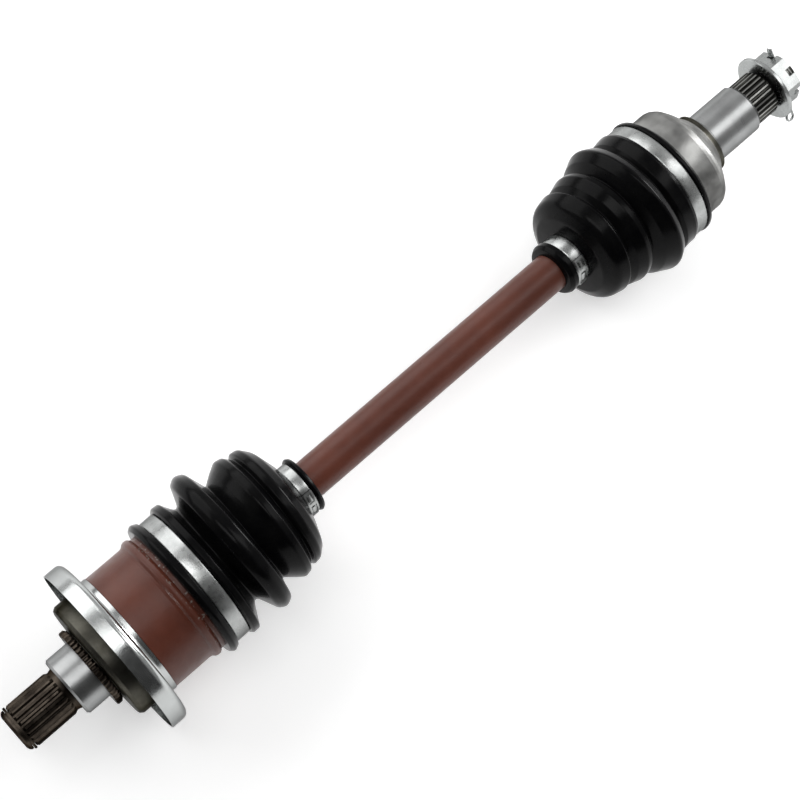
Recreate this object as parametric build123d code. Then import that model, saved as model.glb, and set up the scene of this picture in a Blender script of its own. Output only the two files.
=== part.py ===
"""CV axle: two ball joints, a painted bar, ribbed boots, splined stubs and an axle nut.

The axle lies along X, with the gearbox stub at -X and the wheel stub at +X.
The origin is on the axis at mid-length. Lengths are millimetres, +Z is up.
An outline is a list of (x, r) points, turned about the X axis.
"""
import os
from math import cos, pi, radians, sin, sqrt

from build123d import *

# Joint centres and the balls that they share
INNER_CENTRE = -188.0
OUTER_CENTRE = 176.0
BALLS = 6
RUNNING = 0.2            # radial clearance between spherical faces

# Bar between the joints
BAR_R = 11.0
NECK_R = 9.6             # where the bar passes through a joint's mouth
BAR_INNER_END = -142.0
BAR_OUTER_END = 138.0
RACE_SPLINE_ROOT = 9.0
RACE_SPLINE_TIP = 9.6
RACE_SPLINE_TEETH = 24
RACE_CLIP_W = 1.6

# Inner (plunging) joint
INNER_PCR = 24.0         # pitch radius of the ball circle
INNER_BALL_R = 8.0
INNER_TRACK_R = 8.1      # straight grooves in the cup
INNER_RACE_TRACK_R = 8.7
INNER_RACE_R = 20.0
INNER_RACE_HALF = 10.0
INNER_CAGE_R = 26.5
INNER_CAGE_HALF = 12.0
CUP_BORE_R = 26.8
CUP_MOUTH = -157.0
CUP_FLOOR = -219.0
CUP_R = 36.15
BOOT_SEAT_R = 36.6
STOP_X = -160.2
STOP_W = 2.0

# Inner stub
STUB_END = -282.6
STUB_END_R = 12.4
CIRCLIP_X = -279.8
CIRCLIP_W = 1.7
INNER_SPLINE_END = -251.2
INNER_SPLINE_ROOT = 12.0
INNER_SPLINE_TIP = 13.1
INNER_SPLINE_TEETH = 22
SEAL_JOURNAL_R = 17.5
SEAL_JOURNAL_START = -247.4
TONE_START = -234.2
TONE_END = -229.9
TONE_SEAT_R = 19.5
TONE_ROOT_R = 22.6
TONE_TIP_R = 23.7
TONE_TEETH = 50
CUP_BACK = -229.2
SHOULDER_R = 35.5

# Dust shield
SHIELD_LEFT = -221.0
SHIELD_WEB = -210.2
SHIELD_RIGHT = -206.2
SHIELD_R = 51.0
SHIELD_T = 1.1
SHIELD_CORNER = 3.8

# Outer (fixed) joint
OUTER_PCR = 22.5
OUTER_BALL_R = 7.0
BELL_TRACK_R = 8.8
OUTER_BALL_START = 43.0  # degrees of ball 1 from +Y towards +Z
OUTER_RACE_TRACK_R = 7.8
OUTER_RACE_R = 19.0
OUTER_RACE_HALF = 9.5
OUTER_CAGE_R = 24.6
OUTER_CAGE_HALF = 10.2
BELL_MOUTH = 158.0
BELL_R = 33.1
BELL_TRACK_IN = 55.0     # degrees that a groove runs towards the mouth
BELL_TRACK_OUT = 38.0    # degrees that it runs towards the stub
HOLLOW_R = 40.0          # forged hollows on the bell's cone, between the grooves
HOLLOW_DEPTH = 0.5

# Outer stub
BEARING_FACE = 209.4
BEARING_R = 15.0
BEARING_END = 240.8
WHEEL_SPLINE_END = 258.1
WHEEL_SPLINE_ROOT = 12.4
WHEEL_SPLINE_TIP = 13.45
WHEEL_SPLINE_TEETH = 28
THREAD_R = 10.0
STUD_END = 277.0
PIN_HOLE_X = 272.4
PIN_HOLE_R = 2.0

# Axle nut and cotter pin
NUT_FACE = 259.5
NUT_FLANGE_R = 20.1
NUT_FLANGE_T = 2.6
NUT_HEX_START = 265.0
NUT_TOP = 274.4
NUT_FLATS = 28.0
NUT_SLOT_W = 4.5
NUT_SLOT_DEPTH = 4.2
PIN_R = 1.45             # both legs together
PIN_EYE_WIRE_R = 0.75
PIN_LEG_TIP = 19.5       # distances from the axis
PIN_HEAD_BEND = 15.5
PIN_LEAN = 14.0          # degrees that the head leans towards the flange
CROSS_HOLE_ANGLE = 53.0  # degrees from +Y towards +Z

# Boots and their bands
BOOT_T = 2.0
BAND_T = 0.9
SMALL_BAND_R = 15.4
SMALL_CHANNEL_R = 14.4
INNER_BIG_BAND_R = 39.8
INNER_BIG_CHANNEL_R = 38.9
OUTER_BIG_BAND_R = 37.3
OUTER_BIG_CHANNEL_R = 36.4

FULL_TURN = 360.0
PITCH = FULL_TURN / BALLS


def turned(points):
    """Solid of revolution about X of a closed (x, r) outline."""
    return revolve(make_face(Polyline(*points, close=True)), axis=Axis.X)


def tube(x0, x1, r_in, r_out):
    """Plain ring along X."""
    return turned([(x0, r_in), (x0, r_out), (x1, r_out), (x1, r_in)])


def rod(x0, x1, radius):
    """Plain cylinder along X."""
    return turned([(x0, 0), (x0, radius), (x1, radius), (x1, 0)])


def along_x(x, y=0.0, z=0.0):
    """Plane whose normal is +X, with its own X along the part's Y."""
    return Plane(origin=(x, y, z), x_dir=(0, 1, 0), z_dir=(1, 0, 0))


def toothed(x0, x1, r_root, r_tip, teeth, land=0.28, gap=0.30):
    """Bar with straight teeth. land and gap are the flat shares of one pitch."""
    step = 2 * pi / teeth
    corners = []
    for i in range(teeth):
        centre = i * step
        for radius, turn in (
            (r_tip, -land / 2),
            (r_tip, land / 2),
            (r_root, 0.5 - gap / 2),
            (r_root, 0.5 + gap / 2),
        ):
            angle = centre + turn * step
            corners.append((radius * cos(angle), radius * sin(angle)))
    profile = make_face(Polyline(*corners, close=True))
    return extrude(along_x(x0) * profile, x1 - x0)


def around(solid, i, start=0.0):
    """The i-th of six copies spread evenly about X, the first at start degrees."""
    return solid.rotate(Axis.X, start + i * PITCH)


def groove_arc(centre, pitch_r, groove_r, from_deg, to_deg):
    """Round groove that follows an arc about the joint centre, in the XY plane."""
    turn_axis = Axis((centre, 0, 0), (0, 0, 1))
    section = Plane.YZ.offset(centre) * Pos(pitch_r, 0) * Circle(groove_r)
    section = section.rotate(turn_axis, from_deg)
    sweep_solid = revolve(section, axis=turn_axis, revolution_arc=to_deg - from_deg)
    for angle in (from_deg, to_deg):
        turn = radians(angle)
        end = (centre - pitch_r * sin(turn), pitch_r * cos(turn), 0)
        sweep_solid += Pos(*end) * Sphere(groove_r)
    return sweep_solid


def ball_between(centre, radius, half):
    """Ball about the joint centre, cut flat at both sides."""
    slab = rod(centre - half, centre + half, radius + 1)
    return (Pos(centre, 0, 0) * Sphere(radius)) & slab


def ball_place(centre, pitch_r, ball_r, i, start):
    """Ball i of a joint."""
    return around(Pos(centre, pitch_r, 0) * Sphere(ball_r), i, start)


def make_cage(centre, r_out, r_in, half, ball_r, pitch_r, start=0.0):
    """Windowed cage ring, spherical inside and out."""
    ring = ball_between(centre, r_out, half) - Pos(centre, 0, 0) * Sphere(r_in)
    window = Pos(centre, pitch_r, 0) * Box(2 * ball_r, 2 * ball_r, 2 * ball_r)
    for i in range(BALLS):
        ring -= around(window, i, start)
    return ring


def make_race(centre, radius, half, pitch_r, track_r, start=0.0):
    """Inner race with curved ball grooves and a splined bore."""
    race = ball_between(centre, radius, half)
    track = groove_arc(centre, pitch_r, track_r, -60, 60)
    for i in range(BALLS):
        race -= around(track, i, start)
    return race - race_spline(centre - half - 1, centre + half + 1)


def race_spline(x0, x1):
    """Spline that joins the bar to either race."""
    return toothed(x0, x1, RACE_SPLINE_ROOT, RACE_SPLINE_TIP, RACE_SPLINE_TEETH)


# --------------------------------------------------------------------------
# Bar and what is fixed to it
# --------------------------------------------------------------------------
INNER_TIP = INNER_CENTRE - INNER_RACE_HALF - 4.0
OUTER_TIP = OUTER_CENTRE + OUTER_RACE_HALF + 4.0
INNER_CLIP_X = INNER_CENTRE - INNER_RACE_HALF - RACE_CLIP_W
OUTER_CLIP_X = OUTER_CENTRE + OUTER_RACE_HALF
CLIP_SEAT_R = 8.2
CLIP_R = 10.6


def make_axle_shaft():
    """Bar with a neck and a splined end in each joint."""
    chamfer = 1.0
    inner_race_face = INNER_CENTRE + INNER_RACE_HALF
    outer_race_face = OUTER_CENTRE - OUTER_RACE_HALF
    bar = turned([
        (inner_race_face, 0),
        (inner_race_face, NECK_R),
        (BAR_INNER_END - 3, NECK_R),
        (BAR_INNER_END, BAR_R),
        (BAR_OUTER_END, BAR_R),
        (BAR_OUTER_END + 3, NECK_R),
        (outer_race_face, NECK_R),
        (outer_race_face, 0),
    ])
    for start, stop, clip_x, side in (
        (INNER_TIP, inner_race_face, INNER_CLIP_X, 1),
        (outer_race_face, OUTER_TIP, OUTER_CLIP_X, -1),
    ):
        end = race_spline(start, stop)
        tip = start if side > 0 else stop
        root = stop if side > 0 else start
        end &= turned([
            (tip, 0),
            (tip, RACE_SPLINE_TIP - chamfer),
            (tip + side * chamfer, RACE_SPLINE_TIP + 0.1),
            (root, RACE_SPLINE_TIP + 0.1),
            (root, 0),
        ])
        end -= tube(clip_x, clip_x + RACE_CLIP_W, CLIP_SEAT_R, BAR_R)
        bar += end
    return bar


def make_snap_ring(x0, width, r_in, r_out, gap, facing=90.0):
    """Open wire ring about X, with its gap turned to the facing angle."""
    ring = tube(x0, x0 + width, r_in, r_out)
    slot = Pos(x0 + width / 2, (r_in + r_out) / 2, 0) * Box(2 * width, r_out, gap)
    return ring - slot.rotate(Axis.X, facing)


# --------------------------------------------------------------------------
# Inner joint: cup, stub and what is fixed to them
# --------------------------------------------------------------------------
def make_inner_housing():
    """Splined stub, seal journal and ball-joint cup, forged in one piece."""
    body = turned([
        (INNER_SPLINE_END - 0.5, 0),
        (INNER_SPLINE_END - 0.5, INNER_SPLINE_ROOT),
        (SEAL_JOURNAL_START - 2.5, INNER_SPLINE_ROOT + 0.5),
        (SEAL_JOURNAL_START - 1.3, INNER_SPLINE_ROOT + 0.9),
        (SEAL_JOURNAL_START - 1.2, SEAL_JOURNAL_R - 1.2),
        (SEAL_JOURNAL_START, SEAL_JOURNAL_R),
        (TONE_START, SEAL_JOURNAL_R),
        (TONE_START, TONE_SEAT_R),
        (CUP_BACK - 0.3, TONE_SEAT_R),
        (CUP_BACK, 28.0),
        (CUP_BACK + 0.1, SHOULDER_R - 2.3),
        (CUP_BACK + 0.5, SHOULDER_R - 1.3),
        (CUP_BACK + 2.2, SHOULDER_R - 0.1),
        (CUP_BACK + 2.6, SHOULDER_R),
        (SHIELD_RIGHT, SHOULDER_R),
        (SHIELD_RIGHT + 0.3, CUP_R),
        (-183.2, CUP_R),
        (-181.8, CUP_R + 0.4),
        (-180.6, CUP_R + 1.5),
        (-179.2, CUP_R + 2.0),
        (-177.6, CUP_R + 1.9),
        (-176.6, CUP_R + 1.2),
        (-176.0, BOOT_SEAT_R),
        (CUP_MOUTH - 1.0, BOOT_SEAT_R),
        (CUP_MOUTH, BOOT_SEAT_R - 1.0),
        (CUP_MOUTH, 0),
    ])
    body += make_inner_stub_end()

    bore = turned([
        (CUP_FLOOR - 3, 0),
        (CUP_FLOOR, 20.0),
        (CUP_FLOOR + 2, CUP_BORE_R),
        (CUP_MOUTH - 1.5, CUP_BORE_R),
        (CUP_MOUTH + 1, CUP_BORE_R + 2.5),
        (CUP_MOUTH + 1, 0),
    ])
    body -= bore
    groove_start = INNER_CENTRE - 22.0
    groove = rod(groove_start, CUP_MOUTH + 1, INNER_TRACK_R)
    groove += Pos(groove_start, 0, 0) * Sphere(INNER_TRACK_R)
    groove = Pos(0, INNER_PCR, 0) * groove
    for i in range(BALLS):
        body -= around(groove, i)
    return body - tube(STOP_X, STOP_X + STOP_W, CUP_BORE_R - 1, CUP_BORE_R + 1.8)


def make_inner_stub_end():
    """Spline, circlip groove and rounded end of the gearbox stub."""
    spline_start = CIRCLIP_X + CIRCLIP_W
    spline = toothed(
        spline_start, INNER_SPLINE_END, INNER_SPLINE_ROOT, INNER_SPLINE_TIP, INNER_SPLINE_TEETH
    )
    spline &= turned([
        (spline_start, 0),
        (spline_start, INNER_SPLINE_ROOT + 0.1),
        (spline_start + 1.3, INNER_SPLINE_TIP + 0.1),
        (INNER_SPLINE_END - 2.0, INNER_SPLINE_TIP + 0.1),
        (INNER_SPLINE_END, INNER_SPLINE_ROOT + 0.1),
        (INNER_SPLINE_END, 0),
    ])
    tip = turned([
        (STUB_END, 0),
        (STUB_END, STUB_END_R - 2.2),
        (STUB_END + 0.6, STUB_END_R - 0.9),
        (STUB_END + 1.6, STUB_END_R),
        (CIRCLIP_X, STUB_END_R),
        (CIRCLIP_X, STUB_END_R - 1.8),
        (CIRCLIP_X + CIRCLIP_W, STUB_END_R - 1.8),
        (CIRCLIP_X + CIRCLIP_W, 0),
    ])
    return tip + spline


def make_toothed_ring():
    """Fine-toothed ring pressed on beside the seal journal."""
    teeth = toothed(TONE_START, TONE_END, TONE_ROOT_R, TONE_TIP_R, TONE_TEETH, 0.30, 0.20)
    teeth &= turned([
        (TONE_START, 0),
        (TONE_START, TONE_TIP_R - 0.4),
        (TONE_START + 0.6, TONE_TIP_R + 0.1),
        (TONE_END - 1.6, TONE_TIP_R + 0.1),
        (TONE_END, TONE_ROOT_R - 0.6),
        (TONE_END, 0),
    ])
    return teeth - rod(TONE_START - 1, TONE_END + 1, TONE_SEAT_R)


def make_dust_shield():
    """Pressed steel ring: a collar on the cup, a web and a rim open to the gearbox."""
    rim = SHIELD_R
    inner_corner = SHIELD_CORNER - SHIELD_T
    collar_r = SHOULDER_R + SHIELD_T
    bend = 2.0
    with BuildSketch(Plane.XY) as section:
        with BuildLine():
            Line((SHIELD_LEFT, rim - SHIELD_T), (SHIELD_LEFT, rim))
            Line((SHIELD_LEFT, rim), (SHIELD_WEB - SHIELD_CORNER, rim))
            CenterArc((SHIELD_WEB - SHIELD_CORNER, rim - SHIELD_CORNER), SHIELD_CORNER, 0, 90)
            Line((SHIELD_WEB, rim - SHIELD_CORNER), (SHIELD_WEB, collar_r + bend))
            CenterArc((SHIELD_WEB + bend, collar_r + bend), bend, 180, 90)
            Line((SHIELD_WEB + bend, collar_r), (SHIELD_RIGHT, collar_r))
            Line((SHIELD_RIGHT, collar_r), (SHIELD_RIGHT, SHOULDER_R))
            Line((SHIELD_RIGHT, SHOULDER_R), (SHIELD_WEB - SHIELD_T, SHOULDER_R))
            Line((SHIELD_WEB - SHIELD_T, SHOULDER_R), (SHIELD_WEB - SHIELD_T, rim - SHIELD_CORNER))
            CenterArc((SHIELD_WEB - SHIELD_CORNER, rim - SHIELD_CORNER), inner_corner, 0, 90)
            Line((SHIELD_WEB - SHIELD_CORNER, rim - SHIELD_T), (SHIELD_LEFT, rim - SHIELD_T))
        make_face()
    return revolve(section.sketch, axis=Axis.X)


# --------------------------------------------------------------------------
# Outer joint: bell, stub and what is fixed to them
# --------------------------------------------------------------------------
def make_outer_housing():
    """Bell, bearing journal, wheel spline and threaded end, forged in one piece."""
    body = turned([
        (BELL_MOUTH, 0),
        (BELL_MOUTH, BELL_R - 1),
        (BELL_MOUTH + 1, BELL_R),
        (192.8, BELL_R),
        (194.8, BELL_R - 0.5),
        (196.8, BELL_R - 1.8),
        (199.6, 27.9),
        (203.0, 22.8),
        (205.6, 19.6),
        (206.7, 18.6),
        (207.4, 18.4),
        (BEARING_FACE, 18.4),
        (BEARING_FACE, 17.0),
        (BEARING_FACE + 0.5, 17.0),
        (BEARING_FACE + 0.5, BEARING_R - 0.3),
        (BEARING_FACE + 2.0, BEARING_R - 0.3),
        (BEARING_FACE + 2.4, BEARING_R),
        (BEARING_END, BEARING_R),
        (BEARING_END + 1.8, WHEEL_SPLINE_TIP),
        (BEARING_END + 1.8, 0),
    ])
    body += make_wheel_stub_end()

    centre = OUTER_CENTRE
    seat_r = OUTER_CAGE_R + RUNNING
    land = 9.0
    land_r = sqrt(seat_r ** 2 - land ** 2)
    body -= Pos(centre, 0, 0) * Sphere(seat_r)
    body -= turned([
        (centre - land, 0),
        (centre - land, land_r),
        (BELL_MOUTH - 1, BELL_R - 3.5),
        (BELL_MOUTH - 1, 0),
    ])
    track = groove_arc(centre, OUTER_PCR, BELL_TRACK_R, -BELL_TRACK_OUT, BELL_TRACK_IN)
    hollow = make_cone_hollow((196.8, 31.3), (205.6, 19.6))
    for i in range(BALLS):
        body -= around(track, i, OUTER_BALL_START)
        body -= around(hollow, i, OUTER_BALL_START + PITCH / 2)
    return body


def make_cone_hollow(low, high):
    """Part of a large ball that dips into the cone between two (x, r) points of its outline."""
    run = Vector(high[0] - low[0], high[1] - low[1], 0)
    outward = Vector(-run.Y, run.X, 0).normalized()
    middle = Vector((low[0] + high[0]) / 2, (low[1] + high[1]) / 2, 0)
    ball = Pos(*(middle + outward * (HOLLOW_R - HOLLOW_DEPTH))) * Sphere(HOLLOW_R)
    size = 4 * HOLLOW_R
    return ball & Pos(high[0] - size / 2, 0, 0) * Box(size, size, size)


def make_wheel_stub_end():
    """Wheel spline and the threaded end with its cross hole."""
    start = BEARING_END + 1.0
    spline = toothed(
        start, WHEEL_SPLINE_END, WHEEL_SPLINE_ROOT, WHEEL_SPLINE_TIP, WHEEL_SPLINE_TEETH
    )
    spline &= turned([
        (start, 0),
        (start, WHEEL_SPLINE_TIP + 0.1),
        (WHEEL_SPLINE_END - 1.2, WHEEL_SPLINE_TIP + 0.1),
        (WHEEL_SPLINE_END, WHEEL_SPLINE_ROOT),
        (WHEEL_SPLINE_END, 0),
    ])
    stud = turned([
        (WHEEL_SPLINE_END, 0),
        (WHEEL_SPLINE_END, THREAD_R - 0.4),
        (NUT_FACE, THREAD_R),
        (STUD_END - 1.2, THREAD_R),
        (STUD_END, THREAD_R - 1.2),
        (STUD_END, 0),
    ])
    pin_hole = Pos(PIN_HOLE_X, 0, 0) * Cylinder(PIN_HOLE_R, 4 * THREAD_R)
    stud -= pin_hole.rotate(Axis.X, CROSS_HOLE_ANGLE - 90)
    return spline + stud


def make_castle_nut():
    """Flanged hexagon nut with a slot across the middle of each flat."""
    corner_r = NUT_FLATS / sqrt(3)
    flange_top = NUT_FACE + NUT_FLANGE_T
    chamfer = 1.0
    flange = turned([
        (NUT_FACE, 0),
        (NUT_FACE, NUT_FLANGE_R - 0.5),
        (NUT_FACE + 0.5, NUT_FLANGE_R),
        (flange_top - 0.5, NUT_FLANGE_R),
        (flange_top, NUT_FLANGE_R - 0.6),
        (NUT_HEX_START, NUT_FLATS / 2),
        (NUT_HEX_START, 0),
    ])
    hexagon = extrude(
        along_x(flange_top) * RegularPolygon(corner_r, 6, rotation=30), NUT_TOP - flange_top
    )
    hexagon &= turned([
        (flange_top, 0),
        (flange_top, corner_r + 0.2),
        (NUT_TOP - chamfer, corner_r + 0.2),
        (NUT_TOP, NUT_FLATS / 2 - 0.3),
        (NUT_TOP, 0),
    ])
    nut = flange + hexagon
    slot = Pos(NUT_TOP, 0, 0) * Box(2 * NUT_SLOT_DEPTH, 3 * NUT_FLATS, NUT_SLOT_W)
    for i in range(3):
        nut -= slot.rotate(Axis.X, i * 60)
    nut -= rod(NUT_FACE - 1, NUT_TOP + 1, THREAD_R)
    return nut.rotate(Axis.X, CROSS_HOLE_ANGLE)


def bent_wire(points, radii, wire_r):
    """Round wire along straight runs joined by arcs."""
    path = FilletPolyline(*points, radius=radii)
    return sweep(Plane(origin=path @ 0, z_dir=path % 0) * Circle(wire_r), path=path)


def make_cotter_pin():
    """Split pin as it is supplied: straight legs and an eye, the head leaning back."""
    head_run = 6.5
    lean = radians(PIN_LEAN)
    head_end = (PIN_HOLE_X - head_run * sin(lean), 0, PIN_HEAD_BEND + head_run * cos(lean))
    legs = bent_wire(
        [(PIN_HOLE_X, 0, -PIN_LEG_TIP), (PIN_HOLE_X, 0, PIN_HEAD_BEND), head_end], 6.0, PIN_R
    )
    split = Pos(PIN_HOLE_X, 0, -PIN_LEG_TIP) * Box(0.3, 4 * PIN_R, 18.0)
    short_leg = Pos(PIN_HOLE_X + PIN_R, 0, -PIN_LEG_TIP) * Box(2 * PIN_R, 4 * PIN_R, 2.6)
    eye_w = 2.9
    eye_length = 8.2
    eye = bent_wire(
        [(0.7, 0, -1), (eye_w, 0, eye_length), (-eye_w, 0, eye_length), (-0.7, 0, -1)],
        2.1,
        PIN_EYE_WIRE_R,
    )
    pin = legs - split - short_leg
    pin += Pos(*head_end) * eye.rotate(Axis.Y, -PIN_LEAN)
    return pin.rotate(Axis.X, CROSS_HOLE_ANGLE + 90)


# --------------------------------------------------------------------------
# Boots and bands
# --------------------------------------------------------------------------
# Outer outline of each boot from its small end to its big end: (x, r)
INNER_BOOT_OUTLINE = [
    (-85.4, BAR_R + 2.2), (-86.2, 15.9), (-87.6, 16.4), (-88.8, 15.6),
    (-88.8, SMALL_CHANNEL_R), (-95.4, SMALL_CHANNEL_R), (-95.8, 17.0), (-97.0, 23.0),
    (-100.2, 30.8), (-104.2, 35.2), (-108.0, 36.0), (-110.9, 34.9),
    (-114.4, 37.6), (-117.8, 37.8), (-122.0, 35.4), (-127.8, 31.9),
    (-131.4, 41.4), (-135.2, 44.2), (-140.0, 42.8), (-146.2, 31.2),
    (-153.6, 40.2), (-157.4, 41.2), (-158.7, 40.2), (-158.7, INNER_BIG_CHANNEL_R),
    (-167.7, INNER_BIG_CHANNEL_R), (-168.0, 40.8), (-171.2, 42.0), (-173.4, 40.6), (-173.8, 37.8),
]
OUTER_BOOT_OUTLINE = [
    (93.0, BAR_R + 2.0), (93.8, 14.8), (96.0, 15.8), (98.4, 15.6),
    (98.8, SMALL_CHANNEL_R), (106.6, SMALL_CHANNEL_R), (107.0, 17.0), (108.0, 24.0),
    (111.4, 30.4), (115.2, 32.4), (118.4, 32.8), (122.2, 31.4),
    (126.0, 33.6), (130.0, 35.0), (133.2, 34.8), (136.4, 33.2),
    (142.4, 37.9), (148.4, 40.8), (152.6, 39.8), (157.2, 36.8),
    (160.4, 37.7), (166.6, 37.9), (168.6, 37.2), (168.8, OUTER_BIG_CHANNEL_R),
    (177.9, OUTER_BIG_CHANNEL_R), (178.2, 37.7), (180.0, 37.3), (182.0, 34.6),
]


def make_boot(outline, seats):
    """Hollow bellows. seats are the inner points that lie on the bar and the housing."""
    direction = 1 if outline[-1][0] > outline[0][0] else -1
    bar_seat_end, housing_seat_start, seat_r = seats
    bar_bore = BAR_R + 0.1
    inside = [(outline[0][0], bar_bore), (bar_seat_end, bar_bore)]
    for x, r in outline:
        past_bar = (x - bar_seat_end) * direction > 1.0
        before_housing = (housing_seat_start - x) * direction > 1.0
        if past_bar and before_housing:
            inside.append((x, r - BOOT_T))
    inside.append((housing_seat_start, seat_r))
    inside.append((outline[-1][0], seat_r))
    return turned(outline + inside[::-1])


def make_band(x0, x1, radius, tab_face=-50.0):
    """Thin steel band with the raised fold of its pulled-tight lock."""
    width = x1 - x0
    fold = 0.3
    band = turned([
        (x0, radius - BAND_T),
        (x0, radius - fold),
        (x0 + fold, radius),
        (x1 - fold, radius),
        (x1, radius - fold),
        (x1, radius - BAND_T),
    ])
    lock = Pos(x0 + width / 2, radius + 0.1, 0) * Box(width - 1.0, 1.4, 8.0)
    lock = lock.rotate(Axis.X, tab_face)
    hidden = rod(x0 - 1, x1 + 1, radius - BAND_T / 2)
    return band + (lock - hidden)


# --------------------------------------------------------------------------
# Every piece in its own file
# --------------------------------------------------------------------------
PARTS = {
    "axle_shaft": make_axle_shaft(),
    "inner_race": make_race(
        INNER_CENTRE, INNER_RACE_R, INNER_RACE_HALF, INNER_PCR, INNER_RACE_TRACK_R
    ),
    "inner_race_clip": make_snap_ring(INNER_CLIP_X, RACE_CLIP_W, CLIP_SEAT_R, CLIP_R, 5.0),
    "outer_race": make_race(
        OUTER_CENTRE,
        OUTER_RACE_R,
        OUTER_RACE_HALF,
        OUTER_PCR,
        OUTER_RACE_TRACK_R,
        OUTER_BALL_START,
    ),
    "outer_race_clip": make_snap_ring(OUTER_CLIP_X, RACE_CLIP_W, CLIP_SEAT_R, CLIP_R, 5.0),
    "inner_cage": make_cage(
        INNER_CENTRE,
        INNER_CAGE_R,
        INNER_RACE_R + RUNNING,
        INNER_CAGE_HALF,
        INNER_BALL_R,
        INNER_PCR,
    ),
    "outer_cage": make_cage(
        OUTER_CENTRE,
        OUTER_CAGE_R,
        OUTER_RACE_R + RUNNING,
        OUTER_CAGE_HALF,
        OUTER_BALL_R,
        OUTER_PCR,
        OUTER_BALL_START,
    ),
    "inner_housing": make_inner_housing(),
    "inner_stub_circlip": make_snap_ring(
        CIRCLIP_X + 0.2, CIRCLIP_W - 0.4, STUB_END_R - 1.8, STUB_END_R + 0.9, 4.0, -60.0
    ),
    "toothed_ring": make_toothed_ring(),
    "dust_shield": make_dust_shield(),
    "inner_stop_ring": make_snap_ring(
        STOP_X, STOP_W, CUP_BORE_R - 1.2, CUP_BORE_R + 1.8, 6.0, 30.0
    ),
    "inner_boot": make_boot(INNER_BOOT_OUTLINE, (-97.5, -153.0, BOOT_SEAT_R)),
    "inner_boot_band_large": make_band(-167.5, -158.9, INNER_BIG_BAND_R),
    "inner_boot_band_small": make_band(-95.3, -89.0, SMALL_BAND_R),
    "outer_housing": make_outer_housing(),
    "castle_nut": make_castle_nut(),
    "cotter_pin": make_cotter_pin(),
    "outer_boot": make_boot(OUTER_BOOT_OUTLINE, (108.6, 156.0, BELL_R)),
    "outer_boot_band_large": make_band(169.2, 177.6, OUTER_BIG_BAND_R),
    "outer_boot_band_small": make_band(99.0, 106.4, SMALL_BAND_R),
}
for number in range(BALLS):
    PARTS[f"inner_ball_{number + 1}"] = ball_place(
        INNER_CENTRE, INNER_PCR, INNER_BALL_R, number, 0.0
    )
    PARTS[f"outer_ball_{number + 1}"] = ball_place(
        OUTER_CENTRE, OUTER_PCR, OUTER_BALL_R, number, OUTER_BALL_START
    )

os.makedirs("parts", exist_ok=True)
for name, solid in PARTS.items():
    export_step(solid, f"parts/{name}.step")
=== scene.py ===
from math import cos, hypot, pi, radians, sin, sqrt, tan

import bmesh
import bpy
from mathutils import Matrix, Vector


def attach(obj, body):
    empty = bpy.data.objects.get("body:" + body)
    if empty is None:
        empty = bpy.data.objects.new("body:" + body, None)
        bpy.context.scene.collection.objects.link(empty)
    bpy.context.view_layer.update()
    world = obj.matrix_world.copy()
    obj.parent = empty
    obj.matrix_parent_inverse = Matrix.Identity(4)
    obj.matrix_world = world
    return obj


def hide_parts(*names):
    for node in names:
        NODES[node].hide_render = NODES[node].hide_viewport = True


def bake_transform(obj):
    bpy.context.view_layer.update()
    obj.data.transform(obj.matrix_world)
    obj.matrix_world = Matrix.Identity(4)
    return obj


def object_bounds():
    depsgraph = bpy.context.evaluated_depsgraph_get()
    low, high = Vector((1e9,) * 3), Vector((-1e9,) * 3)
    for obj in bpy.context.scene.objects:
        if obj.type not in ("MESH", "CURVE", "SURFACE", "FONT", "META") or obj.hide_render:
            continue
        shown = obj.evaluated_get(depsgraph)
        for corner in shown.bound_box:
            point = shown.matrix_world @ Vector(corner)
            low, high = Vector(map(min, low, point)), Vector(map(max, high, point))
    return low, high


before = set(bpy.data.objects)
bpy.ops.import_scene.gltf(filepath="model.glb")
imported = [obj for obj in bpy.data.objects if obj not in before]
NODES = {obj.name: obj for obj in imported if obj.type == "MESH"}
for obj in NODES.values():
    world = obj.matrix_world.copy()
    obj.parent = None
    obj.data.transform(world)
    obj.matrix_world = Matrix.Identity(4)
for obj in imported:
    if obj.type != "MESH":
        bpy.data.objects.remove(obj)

# CV axle: materials for the CAD parts, bellows boots, wound bands and the stud's thread.
# Shapes are given in mm along the axle (x) and away from it (r).
# Materials, lights and the camera are in metres.
CAD_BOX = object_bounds()
MM = 0.001


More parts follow.
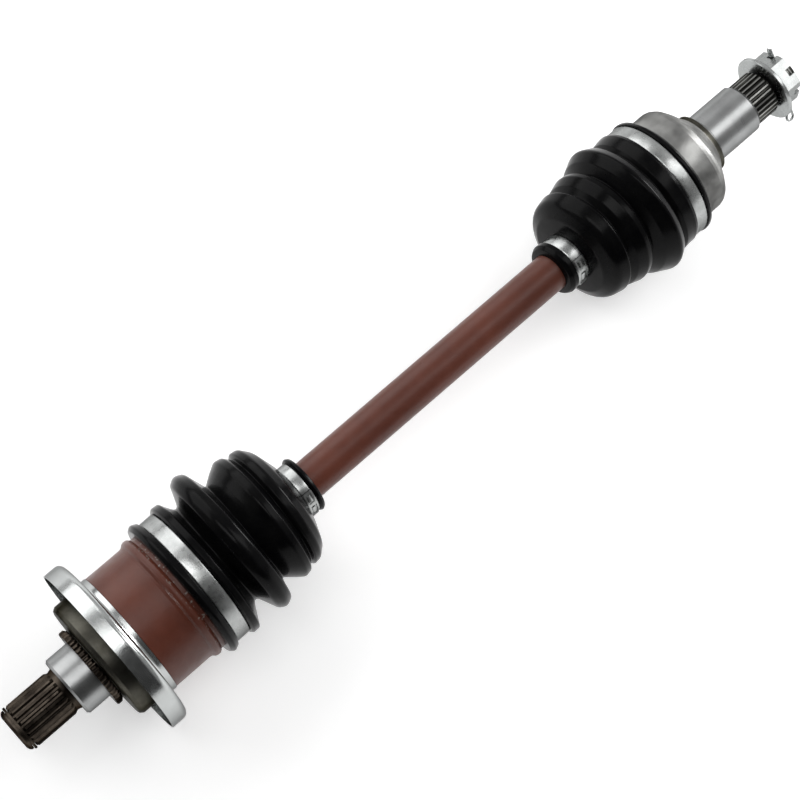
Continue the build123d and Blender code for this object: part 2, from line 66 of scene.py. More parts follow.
# --------------------------------------------------------------------------
# Node material tools
# --------------------------------------------------------------------------
class Paint:
    """A node material around one Principled shader. edge is the grey of what a metal reflects
    at a grazing angle."""

    def __init__(self, name, color, roughness, metallic, specular=0.5, edge=1.0):
        self.mat = bpy.data.materials.new(name)
        self.mat.use_nodes = True
        self.tree = self.mat.node_tree
        self.bsdf = self.tree.nodes["Principled BSDF"]
        self.bsdf.inputs["Base Color"].default_value = (*color, 1)
        self.bsdf.inputs["Roughness"].default_value = roughness
        self.bsdf.inputs["Metallic"].default_value = metallic
        self.bsdf.inputs["Specular IOR Level"].default_value = specular
        self.bsdf.inputs["Specular Tint"].default_value = (edge, edge, edge, 1)
        self.place = self.node("ShaderNodeTexCoord").outputs["Object"]

    def node(self, kind, **settings):
        made = self.tree.nodes.new(kind)
        for key, value in settings.items():
            setattr(made, key, value)
        return made

    def link(self, output, target):
        """Links to a socket, or to the shader's socket of that name."""
        if isinstance(target, str):
            target = self.bsdf.inputs[target]
        self.tree.links.new(output, target)

    def stretched(self, x, y, z):
        """The object's coordinates in metres, each scaled by its own factor."""
        mapping = self.node("ShaderNodeMapping")
        mapping.inputs["Scale"].default_value = (x, y, z)
        self.link(self.place, mapping.inputs["Vector"])
        return mapping.outputs["Vector"]

    def noise(self, scale, detail, roughness, vector=None, distortion=0.0):
        """Noise from 0 to 1. scale is in features per metre."""
        made = self.node("ShaderNodeTexNoise")
        made.inputs["Scale"].default_value = scale
        made.inputs["Detail"].default_value = detail
        made.inputs["Roughness"].default_value = roughness
        made.inputs["Distortion"].default_value = distortion
        self.link(vector or self.place, made.inputs["Vector"])
        return made.outputs["Fac"]

    def ramp(self, value, low, high):
        """Colour ramp between two stops, each (position, colour or grey)."""
        made = self.node("ShaderNodeValToRGB")
        for element, (position, shade) in zip(made.color_ramp.elements, (low, high)):
            element.position = position
            color = shade if isinstance(shade, tuple) else (shade, shade, shade)
            element.color = (*color, 1)
        self.link(value, made.inputs["Fac"])
        return made.outputs["Color"]

    def product(self, a, b):
        made = self.node("ShaderNodeMath", operation="MULTIPLY")
        self.link(a, made.inputs[0])
        self.link(b, made.inputs[1])
        return made.outputs["Value"]

    def mix(self, factor, a, b):
        """Colour output a where factor is 0, and plain colour b where it is 1."""
        made = self.node("ShaderNodeMix", data_type="RGBA")
        self.link(factor, made.inputs[0])
        self.link(a, made.inputs[6])
        made.inputs[7].default_value = (*b, 1)
        return made.outputs[2]

    def bump(self, height, depth):
        """Bump of a height from 0 to 1. depth is in metres. Bumps given in turn add up."""
        made = self.node("ShaderNodeBump")
        made.inputs["Strength"].default_value = 1.0
        made.inputs["Distance"].default_value = depth
        self.link(height, made.inputs["Height"])
        normal = self.bsdf.inputs["Normal"]
        if normal.links:
            self.link(normal.links[0].from_socket, made.inputs["Normal"])
        self.link(made.outputs["Normal"], "Normal")

    def x(self):
        """Place along the axle, in metres."""
        split = self.node("ShaderNodeSeparateXYZ")
        self.link(self.place, split.inputs["Vector"])
        return split.outputs["X"]

    def between(self, value, low, high, soft):
        """1 where value is between low and high, fading to 0 over soft."""
        made = []
        for a, b in ((low - soft, low), (high + soft, high)):
            step = self.node("ShaderNodeMapRange")
            step.inputs["From Min"].default_value = a
            step.inputs["From Max"].default_value = b
            self.link(value, step.inputs["Value"])
            made.append(step.outputs["Result"])
        return self.product(*made)


def lathe_lines(paint, depth):
    """Fine turning marks round the axle."""
    marks = paint.noise(1.0, 4.0, 0.6, paint.stretched(5200, 60, 60))
    paint.bump(marks, depth)
    return marks


CHIPPED_PAINT = (-0.1775, -0.1725)   # along the axle, beside the inner boot's lip


def red_brown_paint():
    """Semi-gloss red-brown paint with faint orange peel and a few bare nicks by the boot."""
    p = Paint("red_brown_paint", (0.10, 0.030, 0.020), 0.36, 0.0, specular=0.35)
    cloud = p.noise(38, 5, 0.6)
    color = p.ramp(cloud, (0.3, (0.082, 0.021, 0.012)), (0.7, (0.120, 0.032, 0.018)))
    specks = p.noise(620, 2, 0.5)
    near_lip = p.between(p.x(), *CHIPPED_PAINT, 0.001)
    nick = p.product(p.ramp(specks, (0.60, 0.0), (0.65, 1.0)), near_lip)
    p.link(p.mix(nick, color, (0.24, 0.20, 0.18)), "Base Color")
    p.link(p.ramp(p.noise(160, 4, 0.6), (0.3, 0.32), (0.75, 0.46)), "Roughness")
    p.bump(p.noise(520, 3, 0.5), 0.00005)
    p.bump(p.noise(60, 2, 0.5), 0.0002)
    return p.mat


def ground_steel():
    """Ground journal steel with fine rings and a grey, slightly uneven sheen."""
    p = Paint("ground_steel", (0.36, 0.36, 0.36), 0.27, 1.0, edge=0.3)
    cloud = p.noise(55, 4, 0.6)
    p.link(p.ramp(cloud, (0.3, (0.28, 0.285, 0.285)), (0.7, (0.38, 0.385, 0.385))), "Base Color")
    marks = lathe_lines(p, 0.000008)
    p.link(p.ramp(marks, (0.3, 0.27), (0.75, 0.38)), "Roughness")
    return p.mat


def oiled_steel():
    """Dark steel under a brown film of rust-preventing oil."""
    p = Paint("oiled_steel", (0.05, 0.042, 0.034), 0.3, 1.0, edge=0.3)
    film = p.noise(90, 5, 0.65)
    p.link(p.ramp(film, (0.3, (0.020, 0.016, 0.013)), (0.72, (0.085, 0.070, 0.056))), "Base Color")
    p.link(p.ramp(p.noise(210, 4, 0.6), (0.3, 0.24), (0.75, 0.46)), "Roughness")
    p.bump(p.noise(700, 3, 0.5), 0.00005)
    return p.mat


def machined_dark_steel():
    """Bare turned back of the cup, dark with a yellow cast."""
    p = Paint("machined_dark_steel", (0.08, 0.077, 0.064), 0.34, 1.0, edge=0.3)
    film = p.noise(60, 5, 0.6)
    p.link(p.ramp(film, (0.3, (0.045, 0.043, 0.035)), (0.7, (0.115, 0.111, 0.094))), "Base Color")
    marks = lathe_lines(p, 0.00002)
    p.link(p.ramp(marks, (0.3, 0.30), (0.75, 0.44)), "Roughness")
    return p.mat


def splined_steel(name, dull, light):
    """Cut wheel spline: grey steel under an uneven film of oil, from the dull tone to the light one. Given
    near-black tones, it is painted shade between the teeth.
    """
    p = Paint(name, light, 0.34, 1.0, edge=0.3)
    film = p.noise(110, 5, 0.6)
    p.link(p.ramp(film, (0.3, dull), (0.72, light)), "Base Color")
    p.link(p.ramp(p.noise(230, 4, 0.6), (0.3, 0.28), (0.75, 0.44)), "Roughness")
    p.bump(p.noise(600, 3, 0.5), 0.00004)
    return p.mat


def forged_steel():
    """Satin blasted forging with a soft, uneven surface."""
    p = Paint("forged_steel", (0.26, 0.26, 0.255), 0.40, 1.0, edge=0.35)
    cloud = p.noise(42, 3, 0.5)
    p.link(p.ramp(cloud, (0.36, (0.14, 0.14, 0.136)), (0.64, (0.38, 0.38, 0.37))), "Base Color")
    p.link(p.ramp(p.noise(140, 4, 0.6), (0.3, 0.36), (0.75, 0.50)), "Roughness")
    p.bump(p.noise(48, 1.5, 0.4), 0.0022)
    p.bump(p.noise(130, 3, 0.5), 0.0002)
    p.bump(p.noise(1100, 3, 0.5), 0.00004)
    return p.mat


def zinc_plate(name, shade, roughness):
    """Zinc plate with slow waves and faint milky patches. shade is its grey."""
    def tone(grey):
        return grey, grey * 1.03, grey * 1.02

    p = Paint(name, tone(shade), roughness, 1.0, edge=0.35)
    cloud = p.noise(32, 4, 0.55, distortion=0.4)
    p.link(p.ramp(cloud, (0.3, tone(shade * 0.87)), (0.7, tone(shade * 1.12))), "Base Color")
    p.link(p.ramp(p.noise(85, 4, 0.6), (0.3, roughness * 0.8), (0.75, roughness * 1.5)), "Roughness")
    p.bump(p.noise(48, 3, 0.5), 0.00016)
    p.bump(p.noise(1500, 2, 0.5), 0.00002)
    return p.mat


def band_steel():
    """Rolled stainless strip with a soft lengthwise grain."""
    p = Paint("band_steel", (0.42, 0.43, 0.42), 0.26, 1.0, edge=0.3)
    mottle = p.noise(110, 4, 0.6)
    p.link(p.ramp(mottle, (0.32, (0.36, 0.37, 0.365)), (0.68, (0.48, 0.49, 0.485))), "Base Color")
    p.link(p.ramp(p.noise(240, 4, 0.6), (0.3, 0.22), (0.75, 0.36)), "Roughness")
    p.bump(p.noise(1.0, 3, 0.6, p.stretched(2600, 90, 90)), 0.00001)
    p.bump(p.noise(150, 2, 0.5), 0.00006)
    return p.mat


def boot_rubber():
    """Satin black moulded rubber with a fine grain and a trace of dust."""
    p = Paint("boot_rubber", (0.003, 0.003, 0.0034), 0.20, 0.0, specular=0.07)
    dust = p.noise(70, 6, 0.7)
    p.link(p.ramp(dust, (0.4, (0.002, 0.002, 0.0023)), (0.8, (0.006, 0.006, 0.006))), "Base Color")
    p.link(p.ramp(p.noise(120, 5, 0.65), (0.3, 0.15), (0.75, 0.26)), "Roughness")
    p.bump(p.noise(1800, 2, 0.5), 0.00001)
    p.bump(p.noise(60, 2, 0.5), 0.0002)
    return p.mat


def polished_balls():
    """Polished bearing steel under a smear of grease."""
    p = Paint("polished_balls", (0.75, 0.75, 0.76), 0.08, 1.0)
    p.link(p.ramp(p.noise(130, 4, 0.6), (0.35, 0.05), (0.8, 0.22)), "Roughness")
    p.link(p.ramp(p.noise(60, 3, 0.5), (0.3, (0.62, 0.62, 0.63)), (0.7, (0.80, 0.80, 0.81))), "Base Color")
    return p.mat


MATERIALS = {
    "paint": red_brown_paint(),
    "ground": ground_steel(),
    "oiled": oiled_steel(),
    "turned": machined_dark_steel(),
    "splined": splined_steel("splined_steel", (0.20, 0.20, 0.19), (0.36, 0.36, 0.345)),
    # A near-black copy of the spline steel: painted shade in the roots and on the flanks between the teeth.
    "gaps": splined_steel("spline_gap_painted_shade", (0.018, 0.018, 0.016), (0.060, 0.060, 0.055)),
    "forged": forged_steel(),
    "zinc": zinc_plate("bright_zinc", 0.52, 0.18),
    "nut": zinc_plate("nut_zinc", 0.40, 0.24),
    "band": band_steel(),
    "rubber": boot_rubber(),
    "balls": polished_balls(),
}


# Where the finish changes along each body
BAR_PAINT = (-143, 140)
CUP_SPLINE_END = -248.9
CUP_JOURNAL_END = -234.0
CUP_JOURNAL_LEAST_R = 16.0
CUP_BORE_END = -222
CUP_PAINT_START = -206.1
BELL_CONE_END = 206.8
# The ring of turned steel up to here is darker than the bell and journal: painted shade in the relief
# before the journal.
BELL_PAINTED_SHADE_END = 209.6
BELL_JOURNAL_END = 242.4
WHEEL_TOOTH_TOP_R = 13.15
FACES_INWARDS = -0.2     # a face with out below this is in a bore


def dress(node, *names, choose=None):
    """Gives a CAD node its materials. choose(x, r, out) picks one for each face, where out is
    1 on a face that looks straight away from the axle and -1 on one that looks straight at it."""
    obj = NODES[node]
    obj.data.materials.clear()
    for name in names:
        obj.data.materials.append(MATERIALS[name])
    if choose is None:
        return
    for face in obj.data.polygons:
        c = face.center / MM
        r = hypot(c.y, c.z)
        out = (face.normal.y * c.y + face.normal.z * c.z) / max(r, 1e-6)
        face.material_index = names.index(choose(c.x, r, out))


def bar_zone(x, r, out):
    """Painted between the joints, bare inside them."""
    return "paint" if BAR_PAINT[0] < x < BAR_PAINT[1] else "turned"


def cup_zone(x, r, out):
    """From the gearbox end: oiled spline, ground journal, bare back and painted cup."""
    if out < FACES_INWARDS and x > CUP_BORE_END:
        return "turned"
    if x < CUP_SPLINE_END:
        return "oiled"
    if x < CUP_JOURNAL_END and r > CUP_JOURNAL_LEAST_R:
        return "ground"
    if x < CUP_PAINT_START:
        return "turned"
    return "paint"


def bell_zone(x, r, out):
    """From the boot: forged bell, a ring of dark turned steel that is painted shade in the relief before
    the journal, ground journal, and wheel spline with painted shade between its teeth.
    """
    if out < FACES_INWARDS:
        return "turned"
    if x < BELL_CONE_END:
        return "forged"
    # Turned surface, whose dark tone on this ring is painted shade in the relief.
    if x < BELL_PAINTED_SHADE_END:
        return "turned"
    if x < BELL_JOURNAL_END:
        return "ground"
    # Below the tooth tops the spline gets the near-black copy: painted shade between the teeth.
    return "splined" if r > WHEEL_TOOTH_TOP_R else "gaps"


dress("axle_shaft", "paint", "turned", choose=bar_zone)
dress("inner_housing", "oiled", "ground", "turned", "paint", choose=cup_zone)
dress("outer_housing", "forged", "ground", "turned", "splined", "gaps", choose=bell_zone)
for material, parts in (
    ("oiled", ("toothed_ring", "inner_race_clip", "outer_race_clip", "inner_stub_circlip")),
    ("zinc", ("dust_shield",)),
    ("nut", ("castle_nut", "cotter_pin")),
    ("turned", ("inner_race", "outer_race", "inner_cage", "outer_cage", "inner_stop_ring")),
    ("balls", [f"{side}_ball_{n}" for side in ("inner", "outer") for n in range(1, 7)]),
):
    for part in parts:
        dress(part, material)
SHARP_EDGE = 28          # degrees between the two faces of a CAD edge that stays crisp
for obj in NODES.values():
    for face in obj.data.polygons:
        face.use_smooth = True
    obj.data.set_sharp_from_angle(angle=radians(SHARP_EDGE))


# --------------------------------------------------------------------------
# Boots: smooth bellows, each in two closed pieces that meet in a valley
# --------------------------------------------------------------------------
# Outer outline from the small end to the big end. Each point is (x, r, rounding),
# in mm, and rounding is the radius of the corner there.
INNER_BOOT = (
    (-85.4, 12.4, 0.3), (-85.9, 15.9, 0.8), (-87.6, 16.8, 0.9), (-88.8, 16.0, 0.4), (-88.9, 14.4, 0.2),
    (-95.5, 14.4, 0.2), (-95.7, 16.8, 0.8), (-96.6, 21.5, 3.0), (-100.5, 31.6, 6.0), (-104.8, 36.0, 3.2),
    (-108.6, 36.5, 1.4), (-110.4, 34.2, 0.4), (-113.4, 37.8, 1.4), (-117.2, 38.5, 3.0), (-122.0, 35.4, 4.0),
    (-127.8, 31.0, 0.7), (-131.9, 42.9, 3.0), (-136.6, 45.2, 4.0), (-140.8, 42.4, 4.0), (-146.2, 29.6, 2.2),
    (-153.5, 41.6, 1.2), (-157.4, 41.8, 1.0), (-158.5, 40.6, 0.5), (-158.7, 38.9, 0.2), (-167.7, 38.9, 0.2),
    (-168.0, 41.0, 0.6), (-171.2, 42.5, 1.6), (-173.5, 40.8, 0.9), (-173.8, 37.6, 0.3),
)
OUTER_BOOT = (
    (93.0, 12.4, 0.3), (93.4, 14.6, 1.0), (95.4, 15.9, 1.2), (98.4, 15.7, 0.5), (98.7, 14.4, 0.2),
    (106.5, 14.4, 0.2), (106.7, 16.6, 0.8), (107.5, 24.5, 5.0), (111.2, 31.8, 6.0), (118.9, 33.6, 1.5),
    (121.2, 30.6, 0.5), (124.6, 33.6, 2.4), (130.6, 35.7, 3.0), (134.0, 35.2, 1.4), (136.0, 32.4, 0.5),
    (141.0, 38.0, 3.6), (148.8, 42.2, 3.6), (154.6, 39.4, 1.4), (156.8, 35.6, 0.6), (159.4, 37.6, 1.0),
    (166.6, 38.0, 0.8), (168.4, 37.4, 0.4), (168.6, 36.4, 0.2), (176.6, 36.4, 0.2), (176.8, 37.9, 0.6),
    (179.0, 37.6, 1.0), (181.2, 34.4, 0.6),
)
# How a boot sits unevenly along its length: (x, lean towards the near side in degrees,
# lean towards the upper side in degrees, shift towards the upper side in mm).
INNER_SITS = (
    (-173.8, 0, 0, 0), (-158.7, 0, 0.4, 0.2), (-154.0, -1.0, 0.6, 0.1), (-146.2, -6.5, -1.0, 2.2),
    (-140.0, -5.0, -1.4, 2.2), (-132.0, -2.5, -1.2, 2.4), (-127.8, -5.5, 0, 1.2), (-117.0, -0.5, 1.2, 1.0),
    (-106.0, 0.5, 2.4, 0.9), (-96.0, 2.0, 2.4, 0), (-85.4, 2.0, 1.6, 0),
)
OUTER_SITS = (
    (93.0, 8.0, 0, 0), (107.0, 8.5, 0, 0), (112.0, 9.0, 0, 0), (121.2, 9.0, 0, 0), (136.0, 7.5, 0, 0),
    (148.8, 3.5, -2.2, -0.8), (157.0, 1.0, -1.4, -0.9), (166.0, 0, -1.2, 0), (181.2, 0, -1.0, 0),
)
NEAR = 106.7             # degrees from +Y towards +Z of the side that faces the view
BOOT_WALL = 1.4
BAR_R = 11.0
BAR_GAP = 0.1            # between the bar and the boot
AROUND = 180             # steps round a boot
CORNER_STEPS = 8
CORNER_SHARE = 0.48      # most of an edge that the curve at its end may take
SHORTEST_STEP = 0.02
INSIDE_STEP = 0.05       # least step of the inside line along the axle


def rounded(points, spacing=0.7):
    """Open outline with a curve at each inner corner, in even short steps."""
    corner = [Vector(p[:2]) for p in points]
    path = [corner[0]]
    for i in range(1, len(points) - 1):
        before = (corner[i - 1] - corner[i]).normalized()
        after = (corner[i + 1] - corner[i]).normalized()
        half = before.angle(after) / 2
        edge = min((corner[i - 1] - corner[i]).length, (corner[i + 1] - corner[i]).length)
        cut = min(points[i][2] / tan(half), CORNER_SHARE * edge)
        a, b = corner[i] + before * cut, corner[i] + after * cut
        for k in range(CORNER_STEPS + 1):
            t = k / CORNER_STEPS
            path.append(a * (1 - t) ** 2 + corner[i] * 2 * t * (1 - t) + b * t ** 2)
    path.append(corner[-1])
    fine = [path[0]]
    for point in path[1:]:
        gap = (point - fine[-1]).length
        if gap < SHORTEST_STEP:
            continue
        parts = max(1, round(gap / spacing))
        start = fine[-1]
        fine += [start.lerp(point, (k + 1) / parts) for k in range(parts)]
    return fine


def inside_line(outline, wall, floor_r):
    """The outline moved inwards by the wall, no closer to the axis than floor_r(x)."""
    shifted = []
    sign = 1 if outline[-1].x > outline[0].x else -1
    for i, point in enumerate(outline):
        along = (outline[min(i + 1, len(outline) - 1)] - outline[max(i - 1, 0)]).normalized()
        normal = Vector((along.y, -along.x)) * sign
        moved = point + normal * wall
        x = moved.x
        if shifted and (x - shifted[-1].x) * sign < INSIDE_STEP:
            x = shifted[-1].x + sign * INSIDE_STEP
        shifted.append(Vector((x, max(moved.y, floor_r(x)))))
    return shifted


def sit(sits, x):
    """Leans as slopes, and the shift, of the ring at x."""
    x = min(max(x, min(row[0] for row in sits)), max(row[0] for row in sits))
    for a, b in zip(sits, sits[1:]):
        if a[0] <= x <= b[0]:
            t = (x - a[0]) / (b[0] - a[0])
            near, upper, shift = (p + (q - p) * t * t * (3 - 2 * t) for p, q in zip(a[1:], b[1:]))
            return tan(radians(near)), tan(radians(upper)), shift
    raise ValueError(f"no row at {x}")


def seated(sits, x, r, turn):
    """Place, in metres, of the ring point at (x, r) mm and turn radians, leaning as it sits."""
    near, upper, shift = sit(sits, x)
    facing = radians(NEAR)
    above = facing - pi / 2
    along = x + r * (near * cos(turn - facing) + upper * cos(turn - above))
    y = r * cos(turn) + shift * cos(above)
    z = r * sin(turn) + shift * sin(above)
    return along * MM, y * MM, z * MM


def finish_mesh(name, bm, material, sharp=0.6):
    """Turns a bmesh into a smooth object whose steep edges stay crisp."""
    for face in bm.faces:
        face.smooth = True
    for edge in bm.edges:
        if len(edge.link_faces) == 2 and edge.calc_face_angle(0) > sharp:
            edge.smooth = False
    mesh = bpy.data.meshes.new(name)
    bm.to_mesh(mesh)
    bm.free()
    mesh.materials.append(MATERIALS[material])
    obj = bpy.data.objects.new(name, mesh)
    bpy.context.scene.collection.objects.link(obj)
    return obj


def lathe(name, loop, material, sits):
    """Closed ring of the (x, r) loop, turned about the axle, in mm."""
    bm = bmesh.new()
    rings = []
    for k in range(AROUND):
        turn = 2 * pi * k / AROUND
        rings.append([bm.verts.new(seated(sits, p[0], p[1], turn)) for p in loop])
    for k in range(AROUND):
        here, after = rings[k], rings[(k + 1) % AROUND]
        for i in range(len(loop)):
            j = (i + 1) % len(loop)
            bm.faces.new((here[i], here[j], after[j], after[i]))
    bmesh.ops.recalc_face_normals(bm, faces=bm.faces)
    return finish_mesh(name, bm, material)


def cross_r(line, x):
    """Radius at which an outline crosses the plane at x."""
    for a, b in zip(line, line[1:]):
        if (a.x - x) * (b.x - x) <= 0 and a.x != b.x:
            return a.y + (b.y - a.y) * (x - a.x) / (b.x - a.x)
    raise ValueError(f"no crossing at {x}")


def make_boot(name, points, sits, seam_x, seat_x, seat_r):
    """Builds a boot as [small half, big half], split at seam_x. Past seat_x the big half has
    the bore seat_r, which grips the joint."""
    outline = rounded(points)
    sign = 1 if outline[-1].x > outline[0].x else -1

    def floor_r(x):
        return seat_r if (x - seat_x) * sign > 0 else BAR_R + BAR_GAP

    inner = inside_line(outline, BOOT_WALL, floor_r)
    inner[0] = Vector((outline[0].x, BAR_R + BAR_GAP))
    inner[-1] = Vector((outline[-1].x, seat_r))
    halves = []
    for half, keep in (("small", -1), ("big", 1)):
        out_part = [p for p in outline if (p.x - seam_x) * sign * keep > SHORTEST_STEP]
        in_part = [p for p in inner if (p.x - seam_x) * sign * keep > SHORTEST_STEP]
        out_cut = Vector((seam_x, cross_r(outline, seam_x)))
        in_cut = Vector((seam_x, cross_r(inner, seam_x)))
        if keep < 0:
            loop = out_part + [out_cut, in_cut] + in_part[::-1]
        else:
            loop = [out_cut] + out_part + in_part[::-1] + [in_cut]
        halves.append(lathe(f"{name}_{half}_half", loop, "rubber", sits))
    return halves


def bend_boot(halves, node):
    """Bakes each half's placement into its mesh, and hides the boot's CAD node."""
    for i, half in enumerate(halves):
        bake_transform(half)
        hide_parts(node)


# The rings lean at the seam.
INNER_SEAM = -127.8
OUTER_SEAM = 136.0
bend_boot(
    make_boot("inner_boot", INNER_BOOT, INNER_SITS, INNER_SEAM, seat_x=-153.0, seat_r=36.6),
    "inner_boot",
)
bend_boot(
    make_boot("outer_boot", OUTER_BOOT, OUTER_SITS, OUTER_SEAM, seat_x=157.0, seat_r=33.1),
    "outer_boot",
)


# --------------------------------------------------------------------------
# Bands: strip wound on itself, with the windows and hooks of its lock
# --------------------------------------------------------------------------
STRIP_T = 0.55
STRIP_STEP = 2           # degrees
# The strip's edges are rolled down: (distance from the edge, drop there).
ROLLED_EDGE = ((0.0, 0.28), (0.35, 0.08), (0.8, 0.0))
EDGE_TOLERANCE = 0.01
PAD_LIFT = 0.5


def grid_lines(x0, x1, start, stop, inlays):
    """The x places and the angles in degrees of a strip's mesh lines. An inlay adds its edges
    and its middle."""
    steps = max(8, int(abs(stop - start) / STRIP_STEP))
    xs = {x0 + inset for inset, _ in ROLLED_EDGE} | {x1 - inset for inset, _ in ROLLED_EDGE}
    angles = {round(start + (stop - start) * k / steps, 4) for k in range(steps + 1)}
    for xa, xb, da, db in inlays:
        xs |= {xa, xb, (xa + xb) / 2}
        angles |= {da, db, (da + db) / 2}
    return sorted(xs), sorted(angles)


def strip(name, sits, x0, x1, r, start, stop, holes=(), pads=()):
    """Strip from start to stop degrees with rolled edges.
    A hole or pad is (x from, x to, degrees from, degrees to), and a pad stands proud."""
    xs, angles = grid_lines(x0, x1, start, stop, (*holes, *pads))

    def height(x, degrees):
        lift = 0.0
        if any(xa < x < xb and da < degrees < db for xa, xb, da, db in pads):
            lift = PAD_LIFT
        inset = min(x - x0, x1 - x)
        drop = next((fall for reach, fall in ROLLED_EDGE if inset < reach + EDGE_TOLERANCE), 0.0)
        return r + lift - drop

    bm = bmesh.new()
    top, low = {}, {}
    for i, x in enumerate(xs):
        for j, a in enumerate(angles):
            top[i, j] = bm.verts.new(seated(sits, x, height(x, a), radians(a)))
            low[i, j] = bm.verts.new(seated(sits, x, r - STRIP_T, radians(a)))
    solid = {}
    for i in range(len(xs) - 1):
        for j in range(len(angles) - 1):
            mx, ma = (xs[i] + xs[i + 1]) / 2, (angles[j] + angles[j + 1]) / 2
            solid[i, j] = not any(xa < mx < xb and da < ma < db for xa, xb, da, db in holes)
    for (i, j), present in solid.items():
        if not present:
            continue
        bm.faces.new((top[i, j], top[i + 1, j], top[i + 1, j + 1], top[i, j + 1]))
        bm.faces.new((low[i, j], low[i, j + 1], low[i + 1, j + 1], low[i + 1, j]))
        for di, dj, a, b in (
            (-1, 0, (i, j), (i, j + 1)),
            (1, 0, (i + 1, j), (i + 1, j + 1)),
            (0, -1, (i, j), (i + 1, j)),
            (0, 1, (i, j + 1), (i + 1, j + 1)),
        ):
            if not solid.get((i + di, j + dj), False):
                bm.faces.new((top[a], top[b], low[b], low[a]))
    loose = [v for v in bm.verts if not v.link_faces]
    bmesh.ops.delete(bm, geom=loose, context="VERTS")
    bmesh.ops.recalc_face_normals(bm, faces=bm.faces)
    return finish_mesh(name, bm, "band", sharp=0.35)


# The lock as (degrees from, degrees to) after its start, on a band of radius LOCK_R.
LOCK_R = 15.4
LOCK_WINDOWS = ((5.0, 26.0), (33.0, 58.0))
LOCK_PAD = (63.0, 74.0)
LOCK_END = 84.0
WINDOW_SHARE = 0.54      # a window's width, of the strip's
HOOK_TRIM = (2.5, 5.0)   # degrees that a hook is short of its window's start and end
HOOK_INSET = (0.2, 0.9)  # from its window's two sides
PAD_INSET = 1.2
TURN_RISE, OVERLAP_RISE, HOOK_RISE = -0.25, 0.30, 0.62


def make_band(name, body, sits, x0, x1, r, lock):
    """A wound band: a full inner turn, and the lock's overlap outside it from lock degrees on."""

    def turned(degrees):
        return lock + degrees * LOCK_R / r

    middle = (x0 + x1) / 2
    half = WINDOW_SHARE / 2 * (x1 - x0)
    made = [strip(f"{name}_turn", sits, x0, x1, r + TURN_RISE, lock + 1.0, lock + 359.0)]
    windows = []
    for a, b in LOCK_WINDOWS:
        windows.append((middle - half, middle + half, turned(a), turned(b)))
        hook_name = f"{name}_hook_{len(windows)}"
        left, right = middle - half + HOOK_INSET[0], middle + half - HOOK_INSET[1]
        start, stop = turned(a + HOOK_TRIM[0]), turned(b - HOOK_TRIM[1])
        made.append(strip(hook_name, sits, left, right, r + HOOK_RISE, start, stop))
    pads = [(x0 + PAD_INSET, x1 - PAD_INSET, *map(turned, LOCK_PAD))]
    end = turned(LOCK_END)
    made.append(strip(f"{name}_overlap", sits, x0, x1, r + OVERLAP_RISE, lock, end, windows, pads))
    for piece in made:
        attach(piece, body)
        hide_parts(name)


make_band("inner_boot_band_small", "axle", INNER_SITS, -95.2, -89.1, 15.4, NEAR + 14.0)
make_band("outer_boot_band_small", "axle", OUTER_SITS, 98.9, 106.4, 15.2, NEAR + 12.0)
make_band("inner_boot_band_large", "inner_cup", INNER_SITS, -167.5, -158.9, 39.8, NEAR + 150.0)
make_band("outer_boot_band_large", "outer_bell", OUTER_SITS, 168.8, 176.4, 37.3, NEAR + 140.0)


# --------------------------------------------------------------------------
# Stud thread
# --------------------------------------------------------------------------
THREAD_STEPS = 72        # steps in a turn
THREAD_FADE = 18         # steps over which the ridge fades out


def make_thread(name, body, x0, x1, root, crest, pitch):
    """Closed helical ridge round the stud, faded out at both ends."""
    count = int((x1 - x0) / pitch * THREAD_STEPS)
    sunk = root - 0.3
    bm = bmesh.new()
    rows = []
    for k in range(count + 1):
        turn = 2 * pi * k / THREAD_STEPS
        x = x0 + pitch * k / THREAD_STEPS
        top = root + (crest - root) * min(1.0, k / THREAD_FADE, (count - k) / THREAD_FADE)
        ridge = ((-0.46, sunk), (-0.40, root), (-0.07, top), (0.07, top), (0.40, root), (0.46, sunk))
        row = []
        for share, r in ridge:
            row.append(bm.verts.new(((x + share * pitch) * MM, r * MM * cos(turn), r * MM * sin(turn))))
        rows.append(row)
    for here, after in zip(rows, rows[1:]):
        for i in range(len(here)):
            j = (i + 1) % len(here)
            bm.faces.new((here[i], here[j], after[j], after[i]))
    bm.faces.new(rows[0])
    bm.faces.new(rows[-1][::-1])
    bmesh.ops.recalc_face_normals(bm, faces=bm.faces)
    thread = finish_mesh(name, bm, "splined", sharp=0.5)
    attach(thread, body)


make_thread("stud_thread", "outer_bell", 269.2, 275.6, 9.98, 10.35, 1.5)


# --------------------------------------------------------------------------
# Floor, lights and camera
# --------------------------------------------------------------------------
FLOOR_GLOW = 0.35
FLOOR_SIZE = 12
FLOOR_GAP = 0.0005       # under the axle


def floor_white():
    """Matt white that glows a little, so it renders as a clean studio background."""
    mat = bpy.data.materials.new("floor_white")
    mat.use_nodes = True
    bsdf = mat.node_tree.nodes["Principled BSDF"]
    bsdf.inputs["Base Color"].default_value = (0.9, 0.9, 0.9, 1)
    bsdf.inputs["Roughness"].default_value = 0.9
    bsdf.inputs["Emission Color"].default_value = (1, 1, 1, 1)
    bsdf.inputs["Emission Strength"].default_value = FLOOR_GLOW
    return mat


def make_floor():
    """Wide floor just under the axle."""
    bpy.ops.mesh.primitive_plane_add(size=FLOOR_SIZE, location=(0, 0, CAD_BOX[0].z - FLOOR_GAP))
    floor = bpy.context.object
    floor.name = "floor"
    floor.data.materials.append(floor_white())


def softbox(name, place, target, width, height, power):
    """Rectangular area light at place that points at target. power is in watts."""
    light = bpy.data.lights.new(name, "AREA")
    light.shape = "RECTANGLE"
    light.size = width
    light.size_y = height
    light.energy = power
    obj = bpy.data.objects.new(name, light)
    obj.location = place
    direction = Vector(target) - Vector(place)
    obj.rotation_euler = direction.to_track_quat("-Z", "Y").to_euler()
    bpy.context.scene.collection.objects.link(obj)


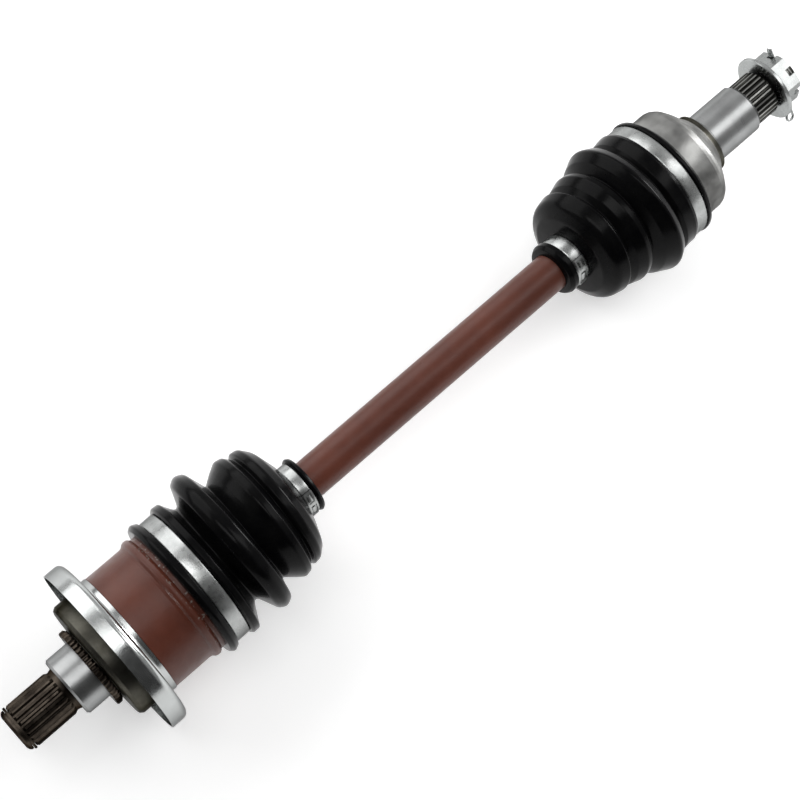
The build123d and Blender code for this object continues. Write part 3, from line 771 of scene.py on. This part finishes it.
AXIS_TILT = 13.2         # degrees from the picture's plane, gearbox end nearer
SCREEN_SLOPE = 40.66     # degrees up from the picture's lower edge
LENS = 93.25             # mm, like the sensor's width
SENSOR = 36.0
CAMERA_DISTANCE = 1.108
AIM_X = -0.0180
AIM_RISE = 0.0006        # the view is aimed this far above the axle, across the picture


def make_camera():
    """Level camera that sees the axle at SCREEN_SLOPE and AXIS_TILT."""
    tilt, slope = radians(AXIS_TILT), radians(SCREEN_SLOPE)
    right_x = cos(tilt) * cos(slope)
    heading_sin = sqrt(1 - right_x ** 2)
    level = sin(tilt) / heading_sin
    drop = sqrt(1 - level ** 2)
    forward = Vector((level * heading_sin, level * right_x, -drop))
    right = Vector((right_x, -heading_sin, 0))
    up = right.cross(forward)
    data = bpy.data.cameras.new("camera")
    data.lens = LENS
    data.sensor_width = SENSOR
    camera = bpy.data.objects.new("camera", data)
    turn = Matrix((right, up, -forward)).transposed()
    aim = Vector((AIM_X, 0, 0)) + (up * cos(slope) - right * sin(slope)) * AIM_RISE
    camera.matrix_world = Matrix.Translation(aim - forward * CAMERA_DISTANCE) @ turn.to_4x4()
    bpy.context.scene.collection.objects.link(camera)
    bpy.context.scene.camera = camera


WALL_DARK, WALL_BRIGHT = 0.02, 0.30


def make_world():
    """Dim studio walls: darkest on the -Y side, lighter past the wheel end."""
    world = bpy.data.worlds.new("studio")
    bpy.context.scene.world = world
    world.use_nodes = True
    tree = world.node_tree
    place = tree.nodes.new("ShaderNodeTexCoord").outputs["Generated"]
    split = tree.nodes.new("ShaderNodeSeparateXYZ")
    tree.links.new(place, split.inputs["Vector"])
    total = tree.nodes.new("ShaderNodeMath")
    total.operation = "ADD"
    for part, axis, low, high in ((0, "X", 0.05, 0.45), (1, "Y", -0.1, 0.5)):
        step = tree.nodes.new("ShaderNodeMapRange")
        step.interpolation_type = "SMOOTHSTEP"
        step.inputs["From Min"].default_value = low
        step.inputs["From Max"].default_value = high
        step.inputs["To Min"].default_value = WALL_DARK
        step.inputs["To Max"].default_value = WALL_BRIGHT
        tree.links.new(split.outputs[axis], step.inputs["Value"])
        tree.links.new(step.outputs["Result"], total.inputs[part])
    background = tree.nodes["Background"]
    background.inputs["Color"].default_value = (1, 1, 1, 1)
    tree.links.new(total.outputs["Value"], background.inputs["Strength"])


make_floor()
make_camera()
make_world()
softbox("left_wall", (-0.25, 1.25, 0.86), (-0.1, 0, 0.05), 2.0, 1.3, 15)
softbox("overhead", (-0.35, -0.07, 1.95), (-0.1, 0, 0), 1.3, 0.60, 8)
softbox("wheel_end", (1.05, -0.62, 1.65), (0.2, 0, 0), 0.9, 1.1, 8)
softbox("low_end", (1.35, -0.15, 0.42), (0.0, 0, 0), 0.6, 0.35, 13)
bpy.context.scene.view_settings.view_transform = "Standard"
